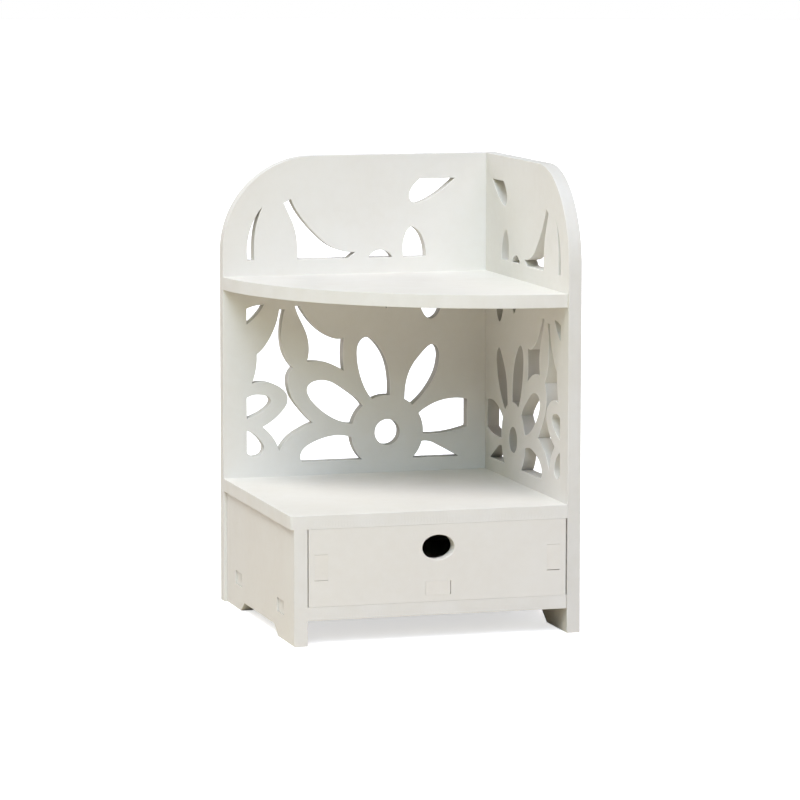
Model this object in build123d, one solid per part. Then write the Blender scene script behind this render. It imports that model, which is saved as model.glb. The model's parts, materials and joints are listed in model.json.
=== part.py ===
from build123d import *
import os
from math import cos, sin, radians, sqrt

# Corner desktop shelf with one drawer, cut from a single thickness of board.
# Millimetres. +Z up, front towards -Y. The origin is on the floor, in the
# middle of the footprint. Two equal upright boards meet at the back right
# corner: one along the back, one along the right side.

# ---- driving dimensions -------------------------------------------------
t = 10.0                 # board thickness
panel_w = 210.0          # width of each upright board, from its free edge
panel_h = 341.5          # height of the upright boards
corner_r = 72.0          # rounding of each upright board's free top corner
width = panel_w + t      # overall width, left to right
depth = panel_w          # overall depth, front to back

top_z = 250.5            # top face of the quarter-round shelf
top_front_gap = 2.5      # how far its right end stays behind the front edge
mid_z = 95.5             # top face of the middle shelf (top of the drawer box)
low_z = 28.5             # top face of the board under the drawer
wall_inset = 2.5         # left wall's outer face, in from the shelf's edge
nose_r = 2.5             # rounding of the middle shelf's free front corner

foot_in = 47.0           # width of a front foot at the floor
foot_slope = 11.5        # sideways run of the foot's slanted edge
foot_h = 7.5             # height of the foot cut-out
foot_r = 4.0             # rounding inside the cut-out

tab = 19.0               # length of every tab
end_play = 0.35          # slot longer than its tab, at each end
side_play = 0.04         # slot wider than the board, at each face
front_play = 0.15        # play at the tight end of the drawer front's slots
low_play = 0.3           # play at the loose end of the left one
loose_play = 0.55        # and of the right one and the floor's
sunk = 1.0               # left wall's tab ends, in from its outer face
sunk_play = 0.5          # play at the front end of their slots
sunk_top = 0.25          # and above them

gap_left = 0.8           # drawer front to left wall
gap_right = 1.15         # drawer front to side board
gap_top = 0.1
gap_low = 0.1            # the drawer's running clearance on the board below
drawer_end = 1.5         # drawer's rear end to the back board
drawer_side_in = 4.5     # drawer side's outer face, in from the front's end
drawer_wall_h = 50.0     # height of the drawer's sides and back
drawer_floor_z = 33.5    # underside of the drawer's floor
drawer_back_in = 6.0     # rear face of the drawer's back, in from the sides' ends
pull_w, pull_h = 24.4, 18.4   # oval finger hole
pull_z = 68.4

# ---- cut-out flower pattern, in board coordinates -----------------------
# u is measured from the board's free edge, z from the floor. Each outline is
# a chain of curves: two points make a line, three an arc, more a spline.
ring_u, ring_z, ring_r, eye_r = 130.5, 126.6, 29.0, 10.0
low_line, low_top = 106.0, 228.5       # lower window's flat bottom and top
up_line, up_top = 262.5, 322.5         # upper window's flat bottom and top
margin = 18.6                          # left edge of both windows
inset_r = 52.9                         # rounded limit of the upper window


def on_ring(a):
    return (ring_u + ring_r * cos(radians(a)), ring_z + ring_r * sin(radians(a)))


def ring_arc(a, b):
    return [on_ring(a), on_ring((a + b) / 2), on_ring(b)]


def on_inset(z):
    cu, cz = corner_r, panel_h - corner_r
    return (cu - sqrt(inset_r ** 2 - (z - cz) ** 2), z)


ring_at_low = sqrt(ring_r ** 2 - (ring_z - low_line) ** 2)

outlines = {
    "sliver": [
        [(margin, 213.4), (margin, 225.6)],
        [(margin, 225.6), (25.4, 227.6), (32.4, 228.4)],
        [(32.4, 228.4), (26.3, 220.2), (margin, 213.4)],
    ],
    "long_star": [
        [(48.6, 224.2), (44.4, 224.2)],
        [(44.4, 224.2), (42.7, 216.3), (39.9, 208.4), (36.1, 201.0), (31.7, 194.8), (26.7, 190.2)],
        [(26.7, 190.2), (25.9, 178.6), (22.6, 167.6)],
        [(22.6, 167.6), (30.5, 168.9), (38.4, 167.6), (45.9, 163.6), (50.3, 158.4),
         (50.6, 152.2), (46.6, 145.8), (39.8, 139.4), (31.2, 134.1)],
        [(31.2, 134.1), (39.3, 125.6), (44.2, 115.1)],
        [(44.2, 115.1), (48.4, 121.9), (53.6, 127.0), (59.2, 130.5), (65.0, 133.5), (70.8, 135.8)],
        [(70.8, 135.8), (66.5, 139.8), (62.4, 144.4), (57.9, 150.0), (54.1, 155.7), (51.9, 161.5),
         (50.9, 167.4), (51.6, 173.4), (55.1, 178.9)],
        [(55.1, 178.9), (51.3, 183.9), (48.3, 189.6), (46.4, 196.6), (45.8, 204.8), (46.5, 214.4), (48.6, 224.2)],
    ],
    "star": [
        [(56.8, 226.6), (60.6, 216.8), (64.4, 209.0), (67.1, 200.8), (67.9, 192.4), (66.2, 183.2)],
        [(66.2, 183.2), (81.4, 182.3), (95.7, 175.3)],
        [(95.7, 175.3), (94.8, 188.0), (95.7, 200.9)],
        [(95.7, 200.9), (87.7, 200.6), (79.3, 204.6), (71.6, 211.0), (65.3, 218.6), (60.4, 226.6)],
        [(60.4, 226.6), (56.8, 226.6)],
    ],
    "edge_petal_up": [
        [(margin, 140.8), (margin, 156.9)],
        [(margin, 156.9), (24.6, 159.0), (31.2, 158.7), (36.1, 156.8), (37.6, 153.7),
         (35.6, 150.0), (31.0, 146.4), (25.3, 143.4), (margin, 140.8)],
    ],
    "edge_petal_low": [
        [(margin, 115.4), (margin, 131.5)],
        [(margin, 131.5), (25.2, 127.9), (29.8, 122.9), (32.0, 117.5), (30.6, 113.8),
         (26.3, 111.5), (21.9, 111.9), (margin, 115.4)],
    ],
    "petal_left": [
        ring_arc(133.0, 165.0),
        [on_ring(165.0), (96.6, 135.0), (90.6, 137.3), (83.8, 141.0), (77.2, 145.8),
         (71.6, 151.2), (67.7, 156.6), (66.3, 161.7), (67.9, 165.6), (72.6, 168.1),
         (78.8, 168.7), (85.6, 167.0), (92.7, 163.2), (100.0, 158.1), (106.0, 153.4), on_ring(133.0)],
    ],
    "petal_up": [
        ring_arc(115.0, 86.0),
        [on_ring(86.0), (132.7, 163.4), (131.9, 172.0), (130.0, 180.6), (126.6, 188.6),
         (121.9, 195.3), (117.2, 199.7), (112.9, 200.9), (108.8, 198.3), (106.5, 193.2),
         (106.2, 186.4), (107.3, 177.6), (109.7, 168.6), (113.2, 160.2), on_ring(115.0)],
    ],
    "petal_up_right": [
        ring_arc(61.5, 46.0),
        [on_ring(46.0), (155.0, 151.2), (160.4, 156.8), (165.9, 164.6), (169.9, 172.6),
         (171.9, 180.6), (172.0, 187.8), (170.2, 192.0), (166.6, 193.9), (162.2, 191.6),
         (156.8, 186.0), (151.0, 178.6), (147.0, 170.0), (145.0, 160.8), on_ring(61.5)],
    ],
    "petal_right": [
        ring_arc(-4.0, 29.1),
        [on_ring(29.1), (162.0, 145.0), (168.9, 148.4), (177.6, 150.8), (186.5, 151.4), (195.0, 150.4)],
        [(195.0, 150.4), (195.0, 129.0)],
        [(195.0, 129.0), (187.6, 126.9), (179.4, 125.3), (170.0, 124.5), on_ring(-4.0)],
    ],
    "petal_low_right": [
        [(ring_u + ring_at_low, low_line), on_ring(-30.0), on_ring(-16.0)],
        [on_ring(-16.0), (165.4, 117.9), (172.6, 114.5), (180.2, 110.4), (188.0, low_line)],
        [(188.0, low_line), (ring_u + ring_at_low, low_line)],
    ],
    "petal_low_left": [
        [on_ring(186.0), on_ring(205.0), (ring_u - ring_at_low, low_line)],
        [(ring_u - ring_at_low, low_line), (62.2, low_line)],
        [(62.2, low_line), (60.9, 110.6), (62.6, 114.8), (67.2, 118.8), (73.8, 122.0),
         (81.0, 124.3), (88.4, 125.5), (95.4, 125.2), on_ring(186.0)],
    ],
    "dart": [
        [(155.5, low_top), (157.7, 222.4), (160.2, 217.4), (163.0, 214.7), (165.6, 213.9),
         (168.6, 215.1), (171.6, 218.2), (173.4, 222.4), (174.6, low_top)],
        [(174.6, low_top), (155.5, low_top)],
    ],
    "small_dart": [
        [(124.4, low_top), (129.7, 223.1)],
        [(129.7, 223.1), (135.0, low_top)],
        [(135.0, low_top), (124.4, low_top)],
    ],
    "crescent": [
        [on_inset(up_line), on_inset(284.0), on_inset(303.1)],
        [on_inset(303.1), (27.6, 293.4), (25.4, 284.0), (24.6, 274.0), (24.6, up_line)],
        [(24.6, up_line), on_inset(up_line)],
    ],
    "upper_star": [
        [(48.3, 305.8), (53.8, 308.7)],
        [(53.8, 308.7), (58.9, 298.5), (66.2, 288.9), (74.8, 279.8), (83.4, 272.7), (93.2, 268.2), (104.8, 267.0)],
        [(104.8, 267.0), (99.4, up_line)],
        [(99.4, up_line), (59.2, up_line)],
        [(59.2, up_line), (58.5, 277.0), (56.1, 288.0), (52.3, 296.9), (48.3, 305.8)],
    ],
    "small_arch": [
        [(115.4, up_line), (124.8, 268.2), (134.2, up_line)],
        [(134.2, up_line), (115.4, up_line)],
    ],
    "arch": [
        [(143.2, up_line), (142.9, 271.5), (144.9, 280.0), (149.4, 285.4), (154.9, 282.6),
         (159.0, 275.6), (161.0, 268.4), (161.3, up_line)],
        [(161.3, up_line), (143.2, up_line)],
    ],
    "top_petal": [
        [(184.4, up_top), (156.5, up_top)],
        [(156.5, up_top), (151.1, 317.3), (148.0, 310.6), (149.5, 305.4), (154.8, 303.9),
         (161.8, 306.2), (169.8, 310.6), (177.4, 316.2), (184.4, up_top)],
    ],
}


# ---- helpers -------------------------------------------------------------
def curve(pts):
    if len(pts) == 2:
        return Line(*pts)
    if len(pts) == 3:
        return ThreePointArc(*pts)
    return Spline(*pts)


def prism(chain):
    """A board-thick solid from a closed chain of curves in (u, z)."""
    edges = []
    for c in chain:
        edges += curve(c).edges()
    return extrude(make_face(edges), amount=t)


def box(x0, x1, y0, y1, z0, z1):
    return Pos((x0 + x1) / 2, (y0 + y1) / 2, (z0 + z1) / 2) * Box(x1 - x0, y1 - y0, z1 - z0)


def foot_cut(length):
    """The shallow cut-out between two feet on a board of this length."""
    a, b = foot_in, length - foot_in
    with BuildSketch() as s:
        with BuildLine():
            Polyline((a - 2, -2), (a, 0), (a + foot_slope, foot_h),
                     (b - foot_slope, foot_h), (b, 0), (b + 2, -2), close=True)
        make_face()
        fillet([v for v in s.vertices() if v.Y > foot_h - 0.1], foot_r)
    return extrude(s.sketch, amount=t)


def upright():
    """One upright board with its rounded corner, feet and cut-out pattern."""
    edge = [
        [(0, 0), (panel_w, 0)],
        [(panel_w, 0), (panel_w, panel_h)],
        [(panel_w, panel_h), (corner_r, panel_h)],
        [(corner_r, panel_h),
         (corner_r * (1 - cos(radians(45))), panel_h - corner_r * (1 - sin(radians(45)))),
         (0, panel_h - corner_r)],
        [(0, panel_h - corner_r), (0, 0)],
    ]
    b = prism(edge) - foot_cut(panel_w)
    for chain in outlines.values():
        b -= prism(chain)
    b -= Pos(ring_u, ring_z, t / 2) * Cylinder(eye_r, 2 * t)
    return b


def one(shape):
    return shape.solids()[0] if len(shape.solids()) == 1 else shape


# ---- boards of the cabinet ----------------------------------------------
xl, xr = -width / 2, width / 2          # left and right ends
yf, yb = -depth / 2, depth / 2          # front and rear
xi = xr - t                             # inner face of the side board
yi = yb - t                             # inner face of the back board
e, p = end_play, side_play

blank = upright()
back = Plane(origin=(xl, yb, 0), x_dir=(1, 0, 0), z_dir=(0, -1, 0)) * blank
side = Plane(origin=(xi, yf, 0), x_dir=(0, 1, 0), z_dir=(1, 0, 0)) * blank

# the back board's end tabs sit in notches in the side board's rear edge
for zc in (60.0, 172.0, 296.0):
    back += box(xi, xr, yi, yb, zc - tab / 2, zc + tab / 2)
    side -= box(xi, xr, yi - p, yb, zc - tab / 2 - e, zc + tab / 2 + e)

# shelves and bottom board: tabs through the back board and the side board
tabs_x = (xl + 56.0, xl + 154.0)
tabs_y = (yf + 56.0, yf + 154.0)


def plug_in(board, ztop):
    """Adds a shelf's rear and right tabs and cuts their slots."""
    global back, side
    z0, z1 = ztop - t, ztop
    for xc in tabs_x:
        board += box(xc - tab / 2, xc + tab / 2, yi, yb, z0, z1)
        back -= box(xc - tab / 2 - e, xc + tab / 2 + e, yi, yb, z0 - p, z1 + p)
    for yc in tabs_y:
        board += box(xi, xr, yc - tab / 2, yc + tab / 2, z0, z1)
        side -= box(xi, xr, yc - tab / 2 - e, yc + tab / 2 + e, z0 - p, z1 + p)
    return board


# quarter-round top shelf
a45 = radians(45)
with BuildSketch(Plane.XY.offset(top_z - t)) as s:
    with BuildLine():
        Line((xl, yi), (xi, yi))
        Line((xi, yi), (xi, yf + top_front_gap))
        ThreePointArc((xi, yf + top_front_gap),
                      (xi - 200.0 * cos(a45), yi - 200.0 * sin(a45)), (xl, yi))
    make_face()
top_shelf = plug_in(extrude(s.sketch, amount=t), top_z)

# middle shelf
with BuildSketch(Plane.XY.offset(mid_z - t)) as s:
    with BuildLine():
        Polyline((xl, yf), (xi, yf), (xi, yi), (xl, yi), close=True)
    make_face()
    fillet(s.vertices().sort_by(lambda v: v.X + v.Y)[0], nose_r)
middle_shelf = plug_in(extrude(s.sketch, amount=t), mid_z)

# left wall of the drawer box, with feet, and a rear tab in the back board
wx0, wx1 = xl + wall_inset, xl + wall_inset + t
wall = box(wx0, wx1, yf, yi, 0, mid_z - t)
wall -= Plane(origin=(wx0, yf, 0), x_dir=(0, 1, 0), z_dir=(1, 0, 0)) * foot_cut(panel_w - 5.0)
wall += box(wx0, wx1, yi, yb, 47.5, 47.5 + tab)
back -= box(wx0 - p, wx1 + p, yi, yb, 47.5 - e, 47.5 + tab + e)

# board under the drawer, with two tabs through the left wall
bottom = plug_in(box(wx1, xi, yf, yi, low_z - t, low_z), low_z)
for yc in (yf + 39.5, yf + 163.5):
    bottom += box(wx0 + sunk, wx1, yc - tab / 2, yc + tab / 2, low_z - t, low_z)
    wall -= box(wx0, wx1, yc - tab / 2 - sunk_play, yc + tab / 2 + 0.1, low_z - t - p, low_z + sunk_top)

# ---- drawer ---------------------------------------------------------------
dx0, dx1 = wx1 + gap_left, xi - gap_right       # ends of the drawer front
dz0, dz1 = low_z + gap_low, mid_z - t - gap_top
dxc = (dx0 + dx1) / 2
sx0, sx1 = dx0 + drawer_side_in, dx0 + drawer_side_in + t      # left side
rx0, rx1 = dx1 - drawer_side_in - t, dx1 - drawer_side_in      # right side
yb_d = yi - drawer_end                          # rear ends of the sides
by0, by1 = yb_d - drawer_back_in - t, yb_d - drawer_back_in    # drawer back
dzt = dz0 + drawer_wall_h
fz0, fz1 = drawer_floor_z, drawer_floor_z + t
tz0 = 48.0                                      # side tabs, lower end
tz1 = tz0 + tab - 0.4

front = box(dx0, dx1, yf, yf + t, dz0, dz1)
front -= Pos(dxc, yf + t / 2, pull_z) * Rot(90, 0, 0) * extrude(
    Ellipse(pull_w / 2, pull_h / 2), amount=t, both=True)


def drawer_side(x0, x1, loose):
    """A drawer side with its front tab and slots for the back and floor."""
    global front
    b = box(x0, x1, yf + t, yb_d, dz0, dzt)
    b += box(x0, x1, yf, yf + t, tz0, tz1)
    front -= box(x0 - p, x1 + p, yf, yf + t, tz0 - loose, tz1 + front_play)
    b -= box(x0, x1, by0 - p, by1 + p, tz0 - e, tz1 + e)
    for yc in (yf + 60.0, yf + 130.0):
        b -= box(x0, x1, yc - tab / 2 - e, yc + tab / 2 + e, fz0 - p, fz1 + p)
    return b


side_l = drawer_side(sx0, sx1, low_play)
side_r = drawer_side(rx0, rx1, loose_play)

d_back = box(sx1, rx0, by0, by1, dz0, dzt)
d_back += box(sx0, sx1, by0, by1, tz0, tz1)
d_back += box(rx0, rx1, by0, by1, tz0, tz1)

floor = box(sx1, rx0, yf + t, by0, fz0, fz1)
floor += box(dxc - tab / 2, dxc + tab / 2 - 0.4, yf, yf + t, fz0, fz1)
front -= box(dxc - tab / 2 - front_play, dxc + tab / 2 - 0.4 + loose_play, yf, yf + t, fz0 - p, fz1 + p)
floor += box(dxc - tab / 2, dxc + tab / 2, by0, by1, fz0, fz1)
d_back -= box(dxc - tab / 2 - e, dxc + tab / 2 + e, by0, by1, fz0 - p, fz1 + p)
for yc in (yf + 60.0, yf + 130.0):
    floor += box(sx0, sx1, yc - tab / 2, yc + tab / 2, fz0, fz1)
    floor += box(rx0, rx1, yc - tab / 2, yc + tab / 2, fz0, fz1)

# ---- write ------------------------------------------------------------------
parts = {
    "back_panel": back,
    "side_panel": side,
    "top_shelf": top_shelf,
    "middle_shelf": middle_shelf,
    "bottom_board": bottom,
    "left_wall": wall,
    "drawer_front": front,
    "drawer_side_left": side_l,
    "drawer_side_right": side_r,
    "drawer_back": d_back,
    "drawer_bottom": floor,
}
os.makedirs("parts", exist_ok=True)
for name, shape in parts.items():
    export_step(one(shape), f"parts/{name}.step")
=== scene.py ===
import json
import math

import bpy
import numpy as np
from mathutils import Matrix, Vector, noise
from mathutils.geometry import delaunay_2d_cdt


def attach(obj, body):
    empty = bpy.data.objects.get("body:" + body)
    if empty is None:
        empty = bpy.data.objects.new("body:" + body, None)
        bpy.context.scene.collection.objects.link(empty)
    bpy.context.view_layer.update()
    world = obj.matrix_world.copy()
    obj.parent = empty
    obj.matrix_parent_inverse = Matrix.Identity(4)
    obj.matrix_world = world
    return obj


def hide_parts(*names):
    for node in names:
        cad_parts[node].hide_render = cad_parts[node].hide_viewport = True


# Corner desk shelf with a drawer, cut from white foamed board 10 mm thick.
# Every board is rebuilt from its own outline with finely stepped curves, eased
# edges whose width varies a little, and separate skin and cut-edge surfaces.

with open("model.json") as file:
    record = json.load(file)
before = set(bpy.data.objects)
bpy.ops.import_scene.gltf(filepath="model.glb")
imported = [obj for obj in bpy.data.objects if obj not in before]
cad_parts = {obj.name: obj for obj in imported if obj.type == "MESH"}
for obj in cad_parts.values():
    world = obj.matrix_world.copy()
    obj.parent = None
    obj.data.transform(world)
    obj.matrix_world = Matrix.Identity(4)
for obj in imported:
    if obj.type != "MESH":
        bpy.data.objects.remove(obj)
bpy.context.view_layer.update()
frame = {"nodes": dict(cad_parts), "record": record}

MM = 0.001
BODY = {n: b for b, ns in frame["record"]["behaviour"]["bodies"].items() for n in ns}

# thickness direction of each board: 0 = X, 1 = Y, 2 = Z
THICK = {
    "back_panel": 1, "side_panel": 0, "top_shelf": 2, "middle_shelf": 2, "bottom_board": 2,
    "left_wall": 0, "drawer_front": 1, "drawer_side_left": 0, "drawer_side_right": 0,
    "drawer_back": 1, "drawer_bottom": 2,
}
PLANE = {0: (1, 2), 1: (2, 0), 2: (0, 1)}     # in-plane axes, right-handed with the thickness axis

EASED = 0.34 * MM      # rounding of a free edge
CRISP = 0.13 * MM      # rounding of the edges at the sides of the drawer front
TIGHT = 0.06 * MM      # and of the ones above and below it
WORN = 0.20 * MM       # rounding of the left side of the slot in the middle of the drawer front
BUTT = 0.10 * MM       # rounding where a board's end meets another board
FIT = 0.025 * MM       # rounding of tabs and of the slots that they fill
CORNER = 0.28 * MM     # rounding of an upright corner, seen along the thickness
JOINT = 1.20 * MM      # rounding of the bottom board's right front corner, an open joint line
STEPS = 3              # rings across each rounding

INNER_X, INNER_Y = 0.100, 0.095               # inner faces of the side and the back board
SUNK_TABS = (-0.0655, 0.0585)                 # middles of the tabs that end inside the left wall

FLOOR_BOUNCE = (0.63, 0.56, 0.43)
FLOOR_GLOW = 0.62


# ---- outline of a board ----------------------------------------------------
def key(p):
    return tuple(np.round(p, 6))


def outline(node):
    """Loops of (point, normal before, normal after) in the board's plane, material on the left."""
    k = THICK[node]
    a, b = PLANE[k]
    me = frame["nodes"][node].data
    co = np.zeros(len(me.vertices) * 3)
    me.vertices.foreach_get("co", co)
    co = co.reshape(-1, 3)
    hi, lo = co[:, k].max(), co[:, k].min()
    corner_n = [np.array(c.vector) for c in me.corner_normals]
    ahead, walls = {}, {}
    for poly in me.polygons:
        vs = list(poly.vertices)
        if poly.normal[k] > 0.99 and all(abs(co[v][k] - hi) < 1e-6 for v in vs):
            ks = [key(co[v][[a, b]]) for v in vs]
            for i, p in enumerate(ks):
                q = ks[(i + 1) % len(ks)]
                if p != q:
                    ahead[(p, q)] = True
        elif abs(poly.normal[k]) < 0.5:
            top = [(key(co[v][[a, b]]), corner_n[li][[a, b]]) for v, li in zip(vs, poly.loop_indices) if abs(co[v][k] - hi) < 1e-6]
            for p, n in top:
                for q, m in top:
                    if p != q:
                        walls[(p, q)] = (n / np.linalg.norm(n), m / np.linalg.norm(m))
    edges = [e for e in ahead if (e[1], e[0]) not in ahead]
    follow = dict(edges)
    loops, left = [], set(follow)
    while left:
        start = min(left)
        chain, p = [], start
        while p in left:
            left.discard(p)
            chain.append(p)
            p = follow[p]
        loops.append(chain)
    out = []
    for chain in loops:
        segs = []
        for i, p in enumerate(chain):
            q = chain[(i + 1) % len(chain)]
            n, m = walls[(p, q)]
            segs.append((np.array(p), np.array(q), n, m))
        out.append(refine(segs))
    return out, lo, hi


def unit(v):
    return v / max(np.linalg.norm(v), 1e-12)


def refine(segs):
    """Steps each curved segment finely, between its exact end points and normals."""
    pts = []
    for p, q, n, m in segs:
        length = np.linalg.norm(q - p)
        bend = math.acos(max(-1.0, min(1.0, float(n @ m))))
        steps = 1
        if bend > math.radians(0.4):
            steps = max(1, min(math.ceil(bend / math.radians(3.0)), math.ceil(length / (0.45 * MM))))
        ta, tb = np.array([-n[1], n[0]]) * length, np.array([-m[1], m[0]]) * length
        for j in range(steps):
            s = j / steps
            pos = (2 * s**3 - 3 * s**2 + 1) * p + (s**3 - 2 * s**2 + s) * ta + (3 * s**2 - 2 * s**3) * q + (s**3 - s**2) * tb
            tan = (6 * s**2 - 6 * s) * p + (3 * s**2 - 4 * s + 1) * ta + (6 * s - 6 * s**2) * q + (3 * s**2 - 2 * s) * tb
            d = unit(tan)
            nn = n if j == 0 else np.array([d[1], -d[0]])
            pts.append([pos, nn, nn, (p, q)])
        pts[-1].append(m)
    # normal before each point
    out = []
    for i, row in enumerate(pts):
        prev = pts[i - 1]
        before = prev[4] if len(prev) > 4 else row[1]
        after = row[1]
        out.append([row[0], before, after])
    for row in out:
        if float(row[1] @ row[2]) > math.cos(math.radians(9)):
            mid = unit(row[1] + row[2])
            row[1] = row[2] = mid
    return out


def ease_corners(loop, radius_at):
    """Rounds each outward corner between two straight runs by a small radius."""
    out, n = [], len(loop)
    for i, (p, n0, n1) in enumerate(loop):
        turn = n0[0] * n1[1] - n0[1] * n1[0]
        if turn < 0.3:
            out.append([p, n0, n1])
            continue
        rc = radius_at(p)
        before = np.linalg.norm(p - loop[i - 1][0])
        after = np.linalg.norm(loop[(i + 1) % n][0] - p)
        angle = math.acos(max(-1.0, min(1.0, float(n0 @ n1))))
        cut = rc * math.tan(angle / 2)
        if min(before, after) < 2.5 * cut:
            out.append([p, n0, n1])
            continue
        centre = p - (n0 + n1) / (1 + float(n0 @ n1)) * rc
        for j in range(5):
            f = j / 4
            nn = unit(n0 * math.sin((1 - f) * angle) + n1 * math.sin(f * angle))
            out.append([centre + rc * nn, nn, nn, (i, 0.85 * rc)])
    return out


def settle(points, mitre, width):
    """Narrows a rounding where it would fold over itself at a tight corner."""
    w = width.copy()
    ahead = np.roll(points, -1, 0) - points
    length = np.maximum(np.linalg.norm(ahead, axis=1), 1e-9)
    ahead = ahead / length[:, None]
    for _ in range(200):
        shift = mitre * w[:, None]
        kept = 1 - ((np.roll(shift, -1, 0) - shift) * ahead).sum(1) / length
        folded = kept < 0.08
        if not folded.any():
            break
        w[folded | np.roll(folded, 1)] *= 0.93
    return w


def split_long(loop):
    """Adds a point near each end of a long straight run, and along it, so an eased edge can vary."""
    out, n = [], len(loop)
    for i, row in enumerate(loop):
        out.append(row)
        q = loop[(i + 1) % n]
        d = q[0] - row[0]
        length = np.linalg.norm(d)
        if length < 3 * MM:
            continue
        nn = row[2]
        inner = [1.2 * MM] + [length * f for f in np.arange(1, math.ceil(length / (11 * MM))) / math.ceil(length / (11 * MM))] + [length - 1.2 * MM]
        last = 0.0
        for s in sorted(inner):
            if s - last > 0.9 * MM and length - s > 0.9 * MM:
                out.append([row[0] + d * (s / length), nn, nn])
                last = s
    return out


def inside(points, loops):
    """Even-odd test of points against closed loops."""
    x, y = points[:, 0], points[:, 1]
    odd = np.zeros(len(points), bool)
    for lp in loops:
        for (x0, y0), (x1, y1) in zip(lp, np.roll(lp, -1, 0)):
            if (y0 > y1) != (y1 > y0) or y0 != y1:
                hit = ((y0 > y) != (y1 > y)) & (x < (x1 - x0) * (y - y0) / (y1 - y0 if y1 != y0 else 1e-18) + x0)
                odd ^= hit
    return odd


def distance(points, loops):
    best = np.full(len(points), 1e9)
    for lp in loops:
        for p, q in zip(lp, np.roll(lp, -1, 0)):
            d = q - p
            s = np.clip(((points - p) @ d) / max(float(d @ d), 1e-18), 0, 1)
            best = np.minimum(best, np.linalg.norm(points - (p + s[:, None] * d), axis=1))
    return best


# ---- edge widths -------------------------------------------------------------
def is_slot(loop):
    """True for a tab's slot: a rectangle as wide as the board is thick."""
    pts = np.array([r[0] for r in loop])
    w, h = pts.max(0) - pts.min(0)
    q = np.roll(pts, -1, 0)
    area = abs(float((pts[:, 0] * q[:, 1] - q[:, 0] * pts[:, 1]).sum())) / 2
    return area > 0.98 * w * h and max(w, h) < 21 * MM and min(w, h) < 10.5 * MM


def edge_width(node, p, n, side=0):
    """Rounding at a point of the outer outline, p and n in the row frame, on one face or the other."""
    x, y, z = p
    if n[1] < -0.9 and (
            (node == "left_wall" and side > 0) or (node == "side_panel" and side < 0 and z < 0.0955)):
        return CRISP
    if n[1] < -0.9 and ((node == "middle_shelf" and side < 0) or (node == "bottom_board" and side > 0)):
        return TIGHT
    if node == "bottom_board" and y < -0.1 and x > INNER_X - 1.2 * JOINT:
        return BUTT
    if node in ("top_shelf", "middle_shelf", "bottom_board"):
        if y > INNER_Y + 0.0004 or x > INNER_X + 0.0004:
            return FIT
        if y > INNER_Y - 1e-5 or x > INNER_X - 1e-5:
            return BUTT
        if node == "bottom_board" and x < -0.0974:
            return FIT if x < -0.0979 else BUTT
        return EASED
    if node == "back_panel":
        if x > INNER_X + 0.0004:
            return FIT
        return BUTT if x > INNER_X - 1e-5 else EASED
    if node == "side_panel":
        if y > INNER_Y - 0.0002 and any(abs(z - c) < 0.0100 for c in (0.060, 0.172, 0.296)):
            return FIT
        return EASED
    if node == "left_wall":
        if y > INNER_Y + 0.0004:
            return FIT
        return BUTT if y > INNER_Y - 1e-5 or z > 0.0854 else EASED
    if node == "drawer_front":
        return TIGHT if abs(n[2]) > 0.9 else CRISP
    if node in ("drawer_side_left", "drawer_side_right"):
        if y < -0.0954:
            return FIT
        return BUTT if y < -0.0949 else EASED
    if node == "drawer_back":
        if x < -0.0825 or x > 0.0848:
            return FIT
        return BUTT if abs(abs(n[0]) - 1) < 0.01 else EASED
    return BUTT


# ---- mesh of a board ---------------------------------------------------------
def place(k, ab, c):
    """Points in the row frame from in-plane pairs and a position along the thickness."""
    a, b = PLANE[k]
    out = np.zeros((len(ab), 3))
    out[:, a], out[:, b], out[:, k] = ab[:, 0], ab[:, 1], c
    return out


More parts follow.
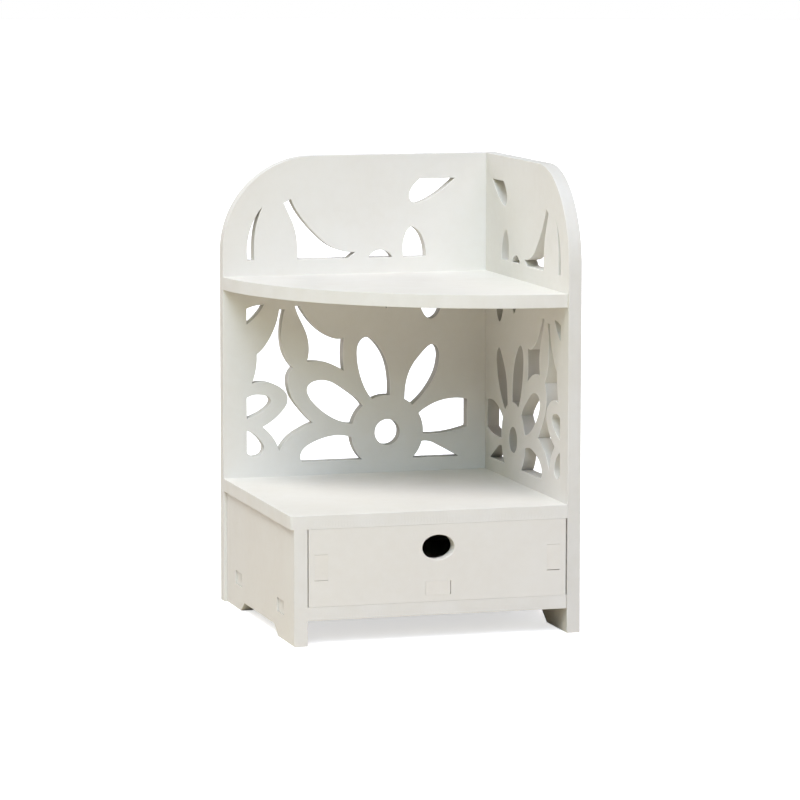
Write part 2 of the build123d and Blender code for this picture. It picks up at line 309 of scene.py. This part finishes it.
def board(node):
    k = THICK[node]
    a, b = PLANE[k]
    loops, lo, hi = outline(node)
    mid, half = (hi + lo) / 2, (hi - lo) / 2
    up = np.zeros(3)
    up[k] = 1.0

    def flat3(v):
        out = np.zeros(3)
        out[a], out[b] = v
        return out

    verts, faces, normals, mats, attr_edge, attr_run = [], [], [], [], [], []
    caps_hi, caps_lo = [], []
    for li, loop in enumerate(sorted(loops, key=lambda l: -np.ptp([r[0][0] for r in l]) * np.ptp([r[0][1] for r in l]))):
        slot = li > 0 and is_slot(loop)
        # the walls of holes, other than slots and the drawer front's, take the darker fretwork material, which is
        # painted shade
        wall_mat = 2 if li > 0 and not slot and node != "drawer_front" else 1
        if not slot:
            def radius_at(p):
                p3 = flat3(p)
                p3[k] = mid
                w = edge_width(node, p3, up)
                if node == "bottom_board" and p3[0] > INNER_X - 1e-5 and p3[1] < -0.1:
                    return JOINT
                return CORNER if w == EASED else max(w, 0.03 * MM)
            loop = ease_corners(loop, radius_at)
        loop = split_long(loop)
        n = len(loop)
        P = np.array([r[0] for r in loop])
        N0 = np.array([r[1] for r in loop])
        N1 = np.array([r[2] for r in loop])
        widths = {}
        for side in (1, -1):
            widths[side] = np.zeros(n)
            for i in range(n):
                p3, n3 = flat3(P[i]), flat3(N1[i])
                p3[k] = mid
                if slot and node == "drawer_front" and min(N0[i][1], N1[i][1]) > 0.9 and abs(p3[0]) < 0.012:
                    w = WORN
                elif slot:
                    w = FIT
                elif li > 0:
                    w = EASED
                else:
                    w = min(edge_width(node, p3, n3, side), edge_width(node, p3, flat3(N0[i]), side))
                if w > CRISP:
                    w *= 1.0 + 0.22 * noise.noise(Vector(p3) * 55.0 + Vector((li * 3.1, k * 7.7, side * 2.3)))
                widths[side][i] = w
            # the points of a rounded corner share one width, inside the corner's own radius
            arcs = {}
            for i, row in enumerate(loop):
                if len(row) > 3:
                    arcs.setdefault(row[3], []).append(i)
            for (_, limit), ids in arcs.items():
                widths[side][ids] = min(limit, widths[side][ids].min())
        dot = (N0 * N1).sum(1)
        mitre = (N0 + N1) / (1 + dot)[:, None]
        size = np.linalg.norm(mitre, axis=1)
        mitre *= np.minimum(1.0, 2.6 / size)[:, None]
        widths = {side: settle(P, mitre, w) for side, w in widths.items()}
        run = np.r_[0, np.cumsum(np.linalg.norm(np.diff(np.vstack([P, P[:1]]), axis=0), axis=1))]

        rings = []                             # from the upper cap to the lower one
        for side in (1, -1):
            width = widths[side]
            phis = [math.pi / 2 * (1 - j / STEPS) for j in range(STEPS + 1)]
            if side < 0:
                phis = phis[::-1]
            for phi in phis:
                ab = P - mitre * (width * (1 - math.cos(phi)))[:, None]
                c = mid + side * (half - width * (1 - math.sin(phi)))
                rings.append((len(verts), phi, side))
                verts.extend(place(k, ab, c))
                # 1 in the middle of an eased edge, 0 on the skin and on the cut face
                attr_edge.extend([math.sin(2 * phi) if w > CRISP else 0.0 for w in width])
        caps_hi.append((rings[0][0], n))
        caps_lo.append((rings[-1][0], n))
        for (s0, ph0, sd0), (s1, ph1, sd1) in zip(rings, rings[1:]):
            cut = sd0 != sd1
            for i in range(n):
                j = (i + 1) % n
                faces.append((s0 + i, s1 + i, s1 + j, s0 + j))
                na, nb = flat3(N1[i]), flat3(N0[j])
                u0, u1 = up * (math.sin(ph0) * sd0), up * (math.sin(ph1) * sd1)
                normals.extend([na * math.cos(ph0) + u0, na * math.cos(ph1) + u1, nb * math.cos(ph1) + u1, nb * math.cos(ph0) + u0])
                mats.append(wall_mat if cut else 0)
                attr_run.extend([run[i], run[i], run[i + 1], run[i + 1]])

    V = np.array(verts)
    for caps, sign in ((caps_hi, 1), (caps_lo, -1)):
        ids = np.concatenate([np.arange(s, s + n) for s, n in caps])
        edge_loops, start = [], 0
        cons = []
        for s, n in caps:
            edge_loops.append(V[s:s + n][:, [a, b]])
            cons += [(start + i, start + (i + 1) % n) for i in range(n)]
            start += n
        pts = V[ids][:, [a, b]]
        low, high = pts.min(0), pts.max(0)
        pitch = 9.0 * MM
        gx, gy = np.meshgrid(np.arange(low[0] + pitch / 2, high[0], pitch), np.arange(low[1] + pitch / 2, high[1], pitch * 0.866))
        gx = gx + (np.arange(gx.shape[0]) % 2)[:, None] * pitch / 2
        grid = np.c_[gx.ravel(), gy.ravel()]
        grid = grid[inside(grid, edge_loops)]
        grid = grid[distance(grid, edge_loops) > 3.2 * MM]
        every = np.vstack([pts, grid]) if len(grid) else pts
        scale = 1000.0                         # millimetres keep the triangulation well conditioned
        res = delaunay_2d_cdt([Vector(p * scale) for p in every], cons, [], 0, 1e-7)
        out_v, out_f, orig = np.array([v[:] for v in res[0]]) / scale, res[2], res[3]
        index = []
        c = V[caps[0][0]][k]
        for vi, o in enumerate(orig):
            known = [q for q in o if q < len(ids)]
            if known:
                index.append(int(ids[known[0]]))
            else:
                index.append(len(verts))
                verts.extend(place(k, out_v[vi:vi + 1], c))
                attr_edge.append(0.0)
        tri = np.array(out_f)
        keep = inside(out_v[tri].mean(1), edge_loops)
        for t in tri[keep]:
            f = [index[v] for v in t]
            p, q, r = out_v[t]
            area = (q[0] - p[0]) * (r[1] - p[1]) - (q[1] - p[1]) * (r[0] - p[0])
            if abs(area) < 1e-13 or len(set(f)) < 3:
                continue
            if (area > 0) != (sign > 0):
                f = f[::-1]
            faces.append(tuple(f))
            normals.extend([up * sign] * 3)
            mats.append(0)
            attr_run.extend([0.0] * 3)

    me = bpy.data.meshes.new(node)
    me.from_pydata([tuple(v) for v in verts], [], faces)
    me.polygons.foreach_set("material_index", mats)
    for name, values, domain in (("edge", attr_edge, "POINT"), ("run", attr_run, "CORNER")):
        at = me.attributes.new(name, "FLOAT", domain)
        at.data.foreach_set("value", np.array(values, np.float32))
    me.shade_smooth()
    me.normals_split_custom_set([tuple(unit(v)) for v in normals])
    me.update()
    ob = bpy.data.objects.new(node + "_board", me)
    bpy.context.scene.collection.objects.link(ob)
    me.materials.append(SKIN[BODY[node]])
    me.materials.append(CUT.get(node, CUT[BODY[node]]))
    if 2 in mats:
        me.materials.append(SHADED_FRET[node])
    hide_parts(node)
    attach(ob, BODY[node])
    return ob


# ---- materials -----------------------------------------------------------------
def node_tree(name):
    m = bpy.data.materials.new(name)
    m.use_nodes = True
    nt = m.node_tree
    nt.nodes.clear()
    out = nt.nodes.new("ShaderNodeOutputMaterial")
    bsdf = nt.nodes.new("ShaderNodeBsdfPrincipled")
    nt.links.new(bsdf.outputs[0], out.inputs[0])
    coord = nt.nodes.new("ShaderNodeTexCoord").outputs["Object"]
    return m, nt, bsdf, coord


def mapping(nt, coord, scale, turn=(0, 0, 0), move=(0, 0, 0)):
    mp = nt.nodes.new("ShaderNodeMapping")
    mp.inputs["Scale"].default_value = scale
    mp.inputs["Rotation"].default_value = turn
    mp.inputs["Location"].default_value = move
    nt.links.new(coord, mp.inputs["Vector"])
    return mp.outputs[0]


def cloud(nt, vec, scale, detail=2.0, rough=0.5, dist=0.0):
    t = nt.nodes.new("ShaderNodeTexNoise")
    t.inputs["Scale"].default_value = scale
    t.inputs["Detail"].default_value = detail
    t.inputs["Roughness"].default_value = rough
    t.inputs["Distortion"].default_value = dist
    nt.links.new(vec, t.inputs["Vector"])
    return t.outputs["Fac"]


def ranged(nt, value, a, b, c, d, smooth=False):
    r = nt.nodes.new("ShaderNodeMapRange")
    if smooth:
        r.interpolation_type = "SMOOTHSTEP"
    for i, v in enumerate((a, b, c, d)):
        r.inputs[i + 1].default_value = v
    nt.links.new(value, r.inputs[0])
    return r.outputs[0]


def mixed(nt, fac, a, b):
    m = nt.nodes.new("ShaderNodeMix")
    m.data_type = "RGBA"
    for sock, v in ((m.inputs[0], fac), (m.inputs[6], a), (m.inputs[7], b)):
        if isinstance(v, tuple):
            sock.default_value = (*v, 1.0)
        elif isinstance(v, (int, float)):
            sock.default_value = v
        else:
            nt.links.new(v, sock)
    return m.outputs[2]


def maths(nt, op, a, b=None, c=None):
    m = nt.nodes.new("ShaderNodeMath")
    m.operation = op
    for sock, v in zip(m.inputs, (a, b, c)):
        if v is None:
            continue
        if isinstance(v, (int, float)):
            sock.default_value = v
        else:
            nt.links.new(v, sock)
    return m.outputs[0]


def bump(nt, bsdf, layers):
    """Layers of (height in metres, signal) on one bump node each."""
    last = None
    for height, signal in layers:
        bp = nt.nodes.new("ShaderNodeBump")
        bp.inputs["Strength"].default_value = 1.0
        bp.inputs["Distance"].default_value = height
        nt.links.new(signal, bp.inputs["Height"])
        if last is not None:
            nt.links.new(last, bp.inputs["Normal"])
        last = bp.outputs[0]
    nt.links.new(last, bsdf.inputs["Normal"])


def attribute(nt, name):
    at = nt.nodes.new("ShaderNodeAttribute")
    at.attribute_name = name
    return at.outputs["Fac"]


WHITE = (0.760, 0.737, 0.680)
WARM = (0.742, 0.714, 0.652)
COOL = (0.778, 0.760, 0.712)


def skin(name, offset, tone=1.0):
    """The board's matt skin: faintly mottled, with a fine pebbled grain, and a patchy painted highlight that pales the
    eased edges.
    """
    m, nt, bsdf, coord = node_tree(name)
    warm, white, cool = (tuple(tone * v for v in c) for c in (WARM, WHITE, COOL))
    vec = mapping(nt, coord, (1, 1, 1), move=offset)
    broad = cloud(nt, vec, 13.0, 3.0, 0.55)
    fine = cloud(nt, vec, 150.0, 3.0, 0.6)
    col = mixed(nt, ranged(nt, broad, 0.36, 0.64, 0.0, 1.0, True), warm, white)
    col = mixed(nt, ranged(nt, fine, 0.35, 0.75, 0.0, 0.40), col, cool)
    edge = attribute(nt, "edge")
    # painted highlight: the eased edges are mixed, in patches, towards a paler colour
    edge_highlight = maths(nt, "MULTIPLY", edge, ranged(nt, cloud(nt, vec, 90.0, 2.0), 0.42, 0.62, 0.15, 0.8))
    col = mixed(nt, edge_highlight, col, (0.83, 0.82, 0.79))
    nt.links.new(col, bsdf.inputs["Base Color"])
    rough = ranged(nt, cloud(nt, vec, 60.0, 4.0, 0.6), 0.3, 0.7, 0.50, 0.64)
    nt.links.new(rough, bsdf.inputs["Roughness"])
    bsdf.inputs["IOR"].default_value = 1.50
    bump(nt, bsdf, [
        (0.00018, cloud(nt, vec, 26.0, 2.0, 0.5)),
        (0.00004, cloud(nt, vec, 420.0, 2.0, 0.55)),
        (0.000022, cloud(nt, vec, 1500.0, 1.0, 0.5)),
    ])
    return m


def sunk_tab_shade(nt, coord):
    """Painted shade in the sunk ends of the bottom board's tabs: darker along their upper and front sides, where the
    lips shade them, and darker below.
    """
    axes = nt.nodes.new("ShaderNodeSeparateXYZ")
    nt.links.new(coord, axes.inputs[0])
    x, y, z = axes.outputs
    shade_paint = 0.0
    for yc in SUNK_TABS:
        here = maths(nt, "LESS_THAN", maths(nt, "ABSOLUTE", maths(nt, "SUBTRACT", y, yc)), 0.0103)
        front = maths(nt, "MULTIPLY", ranged(nt, y, yc - 0.0045, yc + 0.0035, 1.0, 0.0, True), ranged(nt, z, 0.0205, 0.0240, 0.0, 1.0, True))
        band = maths(nt, "MAXIMUM", ranged(nt, z, 0.0248, 0.0280, 0.0, 1.0, True), front)
        band = maths(nt, "MAXIMUM", maths(nt, "MULTIPLY", band, 0.45), maths(nt, "MULTIPLY", maths(nt, "LESS_THAN", z, 0.0187), 0.75))
        shade_paint = maths(nt, "MAXIMUM", shade_paint, maths(nt, "MULTIPLY", here, band))
    deep = maths(nt, "MULTIPLY", maths(nt, "GREATER_THAN", z, 0.0180), maths(nt, "LESS_THAN", z, 0.0292))
    return maths(nt, "MULTIPLY", shade_paint, maths(nt, "MULTIPLY", deep, maths(nt, "LESS_THAN", x, -0.1055)))


def corner_shade(nt, coord, axis):
    """Painted shade on the cut edges of the lower window, darker towards the corner where the uprights meet."""
    axes = nt.nodes.new("ShaderNodeSeparateXYZ")
    nt.links.new(coord, axes.inputs[0])
    start = -0.050 if axis == 0 else -0.045
    near = ranged(nt, axes.outputs[axis], start, start + 0.075, 0.0, 1.0, True)
    low = ranged(nt, axes.outputs[2], 0.232, 0.258, 1.0, 0.0, True)
    patchy = ranged(nt, cloud(nt, coord, 60.0, 2.0), 0.3, 0.7, 0.85, 1.0)
    return maths(nt, "MULTIPLY", maths(nt, "MULTIPLY", near, low), patchy)


def cut(name, offset, pale, creamy, dark, pitch, shade_paint=None):
    """The routed edge: open foam with fine cells and faint cutter marks, and painted shade where its shade mask says.
    """
    m, nt, bsdf, coord = node_tree(name)
    vec = mapping(nt, coord, (1, 1, 1), move=offset)
    cells = nt.nodes.new("ShaderNodeTexVoronoi")
    cells.feature = "F1"
    cells.inputs["Scale"].default_value = 1900.0
    nt.links.new(vec, cells.inputs["Vector"])
    pores = ranged(nt, cells.outputs["Distance"], 0.0, 0.55, 1.0, 0.0, True)
    patch = cloud(nt, vec, 45.0, 3.0, 0.6)
    col = mixed(nt, ranged(nt, patch, 0.35, 0.65, 0.0, 1.0), creamy, pale)
    col = mixed(nt, maths(nt, "MULTIPLY", pores, 0.28), col, dark)
    # painted shade: mixes the cut edge towards a darker colour where the mask is set
    if shade_paint:
        where, colour = shade_paint
        col = mixed(nt, where(nt, coord), col, colour)
    nt.links.new(col, bsdf.inputs["Base Color"])
    nt.links.new(ranged(nt, patch, 0.3, 0.7, 0.66, 0.80), bsdf.inputs["Roughness"])
    bsdf.inputs["IOR"].default_value = 1.46
    run = attribute(nt, "run")
    wobble = cloud(nt, vec, 140.0, 2.0)
    marks = maths(nt, "SINE", maths(nt, "ADD", maths(nt, "MULTIPLY", run, 2 * math.pi / pitch), maths(nt, "MULTIPLY", wobble, 9.0)))
    bump(nt, bsdf, [
        (0.000018, marks),
        (0.000035, maths(nt, "MULTIPLY", pores, -1.0)),
        (0.00003, cloud(nt, vec, 700.0, 2.0, 0.6)),
    ])
    return m


TONE = {"cabinet": 1.0, "drawer": 1.035}
SKIN = {"cabinet": skin("board_skin", (0.0, 0.0, 0.0)), "drawer": skin("drawer_skin", (0.37, 0.21, 0.13), TONE["drawer"])}
CUT, SHADED_FRET = {}, {}
for b, move in (("cabinet", (0.0, 0.0, 0.0)), ("drawer", (0.37, 0.21, 0.13))):
    tint = (1.0, 0.988, 0.975) if b == "drawer" else (1.0, 1.0, 1.0)
    tones = [tuple(TONE[b] * t * v for t, v in zip(tint, c)) for c in (COOL, (0.752, 0.728, 0.668), (0.715, 0.688, 0.625))]
    # the cabinet's cut edges get painted shade in the sunk tab ends
    CUT[b] = cut(b + "_cut", move, *tones, 0.0011, (sunk_tab_shade, (0.520, 0.498, 0.440)) if b == "cabinet" else None)
# The side board's cut edges are a darker copy of the cabinet's: painted shade, for the light that falls off towards
# the right.
CUT["side_panel"] = cut("side_cut_shaded", (0.07, 0.03, 0.05), (0.737, 0.720, 0.675), (0.712, 0.690, 0.633), (0.677, 0.652, 0.592), 0.0011)

# The hole walls of the back and side boards take darker copies of the cut edge: painted shade inside the holes, with
# more painted shade towards the corner of the lower window.
for node, axis, move in (("back_panel", 0, (0.11, 0.05, 0.02)), ("side_panel", 1, (0.0, 0.0, 0.0))):
    SHADED_FRET[node] = cut(node + "_fret", move, (0.700, 0.680, 0.630), (0.660, 0.640, 0.585), (0.560, 0.540, 0.490), 0.0008,
                     (lambda nt, coord, axis=axis: corner_shade(nt, coord, axis), (0.400, 0.385, 0.345)))

for name in THICK:
    board(name)

# ---- floor -------------------------------------------------------------------
# Seen directly it is a white studio sweep; the light that it throws back is a little softer.
m, nt, bsdf, coord = node_tree("floor")
col = mixed(nt, ranged(nt, cloud(nt, coord, 2.2, 3.0), 0.3, 0.7, 0.0, 1.0), (0.93, 0.93, 0.925), (0.95, 0.95, 0.945))
path = nt.nodes.new("ShaderNodeLightPath").outputs["Is Camera Ray"]
nt.links.new(mixed(nt, path, FLOOR_BOUNCE, col), bsdf.inputs["Base Color"])
nt.links.new(ranged(nt, path, 0.0, 1.0, 0.0, FLOOR_GLOW), bsdf.inputs["Emission Strength"])
bsdf.inputs["Emission Color"].default_value = (1.0, 1.0, 1.0, 1.0)
bsdf.inputs["Roughness"].default_value = 0.9
bsdf.inputs["Specular IOR Level"].default_value = 0.1
fm = bpy.data.meshes.new("floor")
ring = [(14 * math.cos(math.tau * i / 96), 14 * math.sin(math.tau * i / 96), 0.0) for i in range(96)]
fm.from_pydata(ring, [], [tuple(range(96))])
fm.materials.append(m)
floor = bpy.data.objects.new("floor", fm)
bpy.context.scene.collection.objects.link(floor)

# ---- light --------------------------------------------------------------------
def soft_light(name, turn, rise, colour, angle, away=None):
    """A wide, even studio light: turn degrees from the front towards the left, rise degrees up.

    colour is what it gives at the object, angle how wide it looks from there, and away how
    many metres off it stands. Without away it lights everything evenly.
    """
    power = max(colour)
    a, e = math.radians(turn), math.radians(rise)
    aim = Vector((-math.sin(a) * math.cos(e), -math.cos(a) * math.cos(e), math.sin(e)))
    if away is None:
        ld = bpy.data.lights.new(name, "SUN")
        ld.energy = power
        ld.angle = math.radians(angle)
    else:
        ld = bpy.data.lights.new(name, "AREA")
        ld.shape = "DISK"
        ld.size = 2 * away * math.tan(math.radians(angle / 2))
        ld.energy = power * math.pi * away ** 2
    ld.color = [c / power for c in colour]
    ob = bpy.data.objects.new(name, ld)
    ob.rotation_euler = aim.to_track_quat("Z", "Y").to_euler()
    if away is not None:
        ob.location = Vector((0.0, 0.0, 0.17)) + aim * away
    ob.visible_camera = False
    bpy.context.scene.collection.objects.link(ob)
    return ob


LIGHTS = [
    ("key_light", 35, 65, (1.328, 1.414, 1.400), 32),
    ("second_key", 35, 50, (0.557, 0.538, 0.721), 32),
    ("low_key", 35, 35, (0.646, 0.704, 0.440), 32, 1.2),
    ("front_light", 15, 35, (0.353, 0.514, 0.843), 32),
    ("right_light", -20, 50, (0.722, 0.601, 0.643), 32),
    ("left_light", 120, 10, (0.634, 0.597, 0.742), 32),
    ("rear_light", 140, 40, (0.659, 0.664, 0.582), 32),
    ("back_fill", -140, 2, (2.20, 2.32, 2.55), 34),
]
for row in LIGHTS:
    soft_light(*row)

world = bpy.data.worlds.new("studio")
world.use_nodes = True
wt = world.node_tree
wt.nodes.clear()
w_out = wt.nodes.new("ShaderNodeOutputWorld")
w_seen = wt.nodes.new("ShaderNodeBackground")
w_lit = wt.nodes.new("ShaderNodeBackground")
w_mix = wt.nodes.new("ShaderNodeMixShader")
w_path = wt.nodes.new("ShaderNodeLightPath")
w_seen.inputs[0].default_value = (1, 1, 1, 1)
w_seen.inputs[1].default_value = 1.0
w_lit.inputs[0].default_value = (1.0, 0.985, 0.96, 1)
w_lit.inputs[1].default_value = 0.03
wt.links.new(w_path.outputs["Is Camera Ray"], w_mix.inputs[0])
wt.links.new(w_lit.outputs[0], w_mix.inputs[1])
wt.links.new(w_seen.outputs[0], w_mix.inputs[2])
wt.links.new(w_mix.outputs[0], w_out.inputs[0])
bpy.context.scene.world = world

# ---- camera: the photograph's viewing angle ---------------------------------------
cam_data = bpy.data.cameras.new("camera")
cam_data.sensor_fit = "HORIZONTAL"
cam_data.sensor_width = 36.0
cam_data.lens = 184.03
cam_data.clip_start, cam_data.clip_end = 0.05, 60.0
cam_data.dof.use_dof = False
cam = bpy.data.objects.new("camera", cam_data)
right, top, ahead = (0.95931, -0.28237, 0.00118), (0.03394, 0.11947, 0.99226), (0.28032, 0.95184, -0.12419)
cam.matrix_world = Matrix((
    (right[0], top[0], -ahead[0], -0.85607),
    (right[1], top[1], -ahead[1], -2.91598),
    (right[2], top[2], -ahead[2], 0.54412),
    (0, 0, 0, 1),
))
bpy.context.scene.collection.objects.link(cam)
bpy.context.scene.camera = cam
bpy.context.scene.view_settings.view_transform = "Standard"
